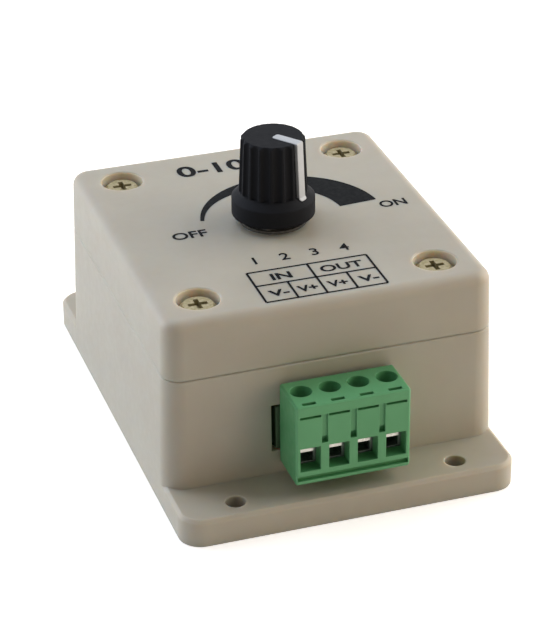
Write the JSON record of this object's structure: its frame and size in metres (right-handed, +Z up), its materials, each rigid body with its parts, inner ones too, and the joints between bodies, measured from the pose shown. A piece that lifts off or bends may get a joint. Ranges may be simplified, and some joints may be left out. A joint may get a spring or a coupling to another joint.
{
  "type": "surface-mounted rotary dimmer",
  "caption": "Boxed low-voltage rotary dimmer with a fluted knob on its lid, screw flanges at both ends and a pull-off screw terminal block.",
  "frame": {"origin": "centre of the case's underside, with the knob's axis straight above it", "axes": "+Z up out of the lid along the knob, +Y to the back and along the screw flanges, terminals face -Y"},
  "size_m": [0.06, 0.086, 0.0527],
  "materials": {
    "case_plastic": "fine moulded texture",
    "print_ink": "printed ink",
    "screw_steel": "zinc plated",
    "board_laminate": "solder mask",
    "terminal_plastic": "moulded",
    "tinned_brass": "tin plated",
    "component_plastic": "moulded",
    "resistor_lacquer": "lacquered",
    "pot_metal": "die cast and plated",
    "wafer_laminate": "laminate",
    "lead_insulation": "extruded",
    "nut_steel": "nickel plated",
    "shaft_aluminium": "turned",
    "knob_plastic": "satin moulded",
    "pointer_plastic": "moulded",
    "cage_steel": "nickel plated"
  },
  "bodies": {
    "housing": {"base_housing": "case_plastic", "lid": "case_plastic", "lid_screws": "screw_steel", "circuit_board": "board_laminate", "board_screws": "screw_steel", "terminal_header": "terminal_plastic", "header_pins": "tinned_brass", "timing_capacitor": "component_plastic", "filter_capacitor": "component_plastic", "flyback_diode": "component_plastic", "resistors": "resistor_lacquer", "power_transistor": "component_plastic", "timer_chip": "component_plastic", "pot_bushing": "pot_metal", "pot_wafer": "wafer_laminate", "pot_can": "pot_metal", "pot_lugs": "tinned_brass", "pot_leads": "lead_insulation", "pot_washer": "nut_steel", "pot_nut": "nut_steel"},
    "knob": {"knob": "knob_plastic", "knob_pointer": "pointer_plastic", "pot_shaft": "shaft_aluminium", "wiper_carrier": "component_plastic", "wiper_spring": "tinned_brass"},
    "plug": {"plug_housing": "terminal_plastic", "plug_contacts": "tinned_brass"},
    "screw_1": {"clamp_screw_1": "screw_steel"},
    "cage_1": {"clamp_cage_1": "cage_steel"},
    "screw_2": {"clamp_screw_2": "screw_steel"},
    "cage_2": {"clamp_cage_2": "cage_steel"},
    "screw_3": {"clamp_screw_3": "screw_steel"},
    "cage_3": {"clamp_cage_3": "cage_steel"},
    "screw_4": {"clamp_screw_4": "screw_steel"},
    "cage_4": {"clamp_cage_4": "cage_steel"}
  },
  "joints": [
    {"name": "knob_turn", "type": "hinge", "parent": "housing", "child": "knob", "pos_m": [0, 0, 0.0364], "axis": [0, 0, 1], "range_deg": [0, 280]},
    {"name": "plug_pull", "type": "slide", "parent": "housing", "child": "plug", "axis": [0, -1, 0], "range_m": [0, 0.012]},
    {"name": "screw_1_turn", "type": "hinge", "parent": "plug", "child": "screw_1", "pos_m": [-0.00742, -0.0365, 0.0186], "axis": [0, 0, -1], "range_deg": [0, 1656.01]},
    {"name": "cage_1_lift", "type": "slide", "parent": "plug", "child": "cage_1", "axis": [0, 0, 1], "range_m": [0, 0.0023]},
    {"name": "screw_2_turn", "type": "hinge", "parent": "plug", "child": "screw_2", "pos_m": [-0.00234, -0.0365, 0.0186], "axis": [0, 0, -1], "range_deg": [0, 1656.01]},
    {"name": "cage_2_lift", "type": "slide", "parent": "plug", "child": "cage_2", "axis": [0, 0, 1], "range_m": [0, 0.0023]},
    {"name": "screw_3_turn", "type": "hinge", "parent": "plug", "child": "screw_3", "pos_m": [0.00274, -0.0365, 0.0186], "axis": [0, 0, -1], "range_deg": [0, 1656.01]},
    {"name": "cage_3_lift", "type": "slide", "parent": "plug", "child": "cage_3", "axis": [0, 0, 1], "range_m": [0, 0.0023]},
    {"name": "screw_4_turn", "type": "hinge", "parent": "plug", "child": "screw_4", "pos_m": [0.00782, -0.0365, 0.0186], "axis": [0, 0, -1], "range_deg": [0, 1656.01]},
    {"name": "cage_4_lift", "type": "slide", "parent": "plug", "child": "cage_4", "axis": [0, 0, 1], "range_m": [0, 0.0023]}
  ],
  "couplings": [
    {"joint": "screw_1_turn", "follows": "cage_1_lift", "rad_per_m": 12566},
    {"joint": "screw_2_turn", "follows": "cage_2_lift", "rad_per_m": 12566},
    {"joint": "screw_3_turn", "follows": "cage_3_lift", "rad_per_m": 12566},
    {"joint": "screw_4_turn", "follows": "cage_4_lift", "rad_per_m": 12566}
  ]
}
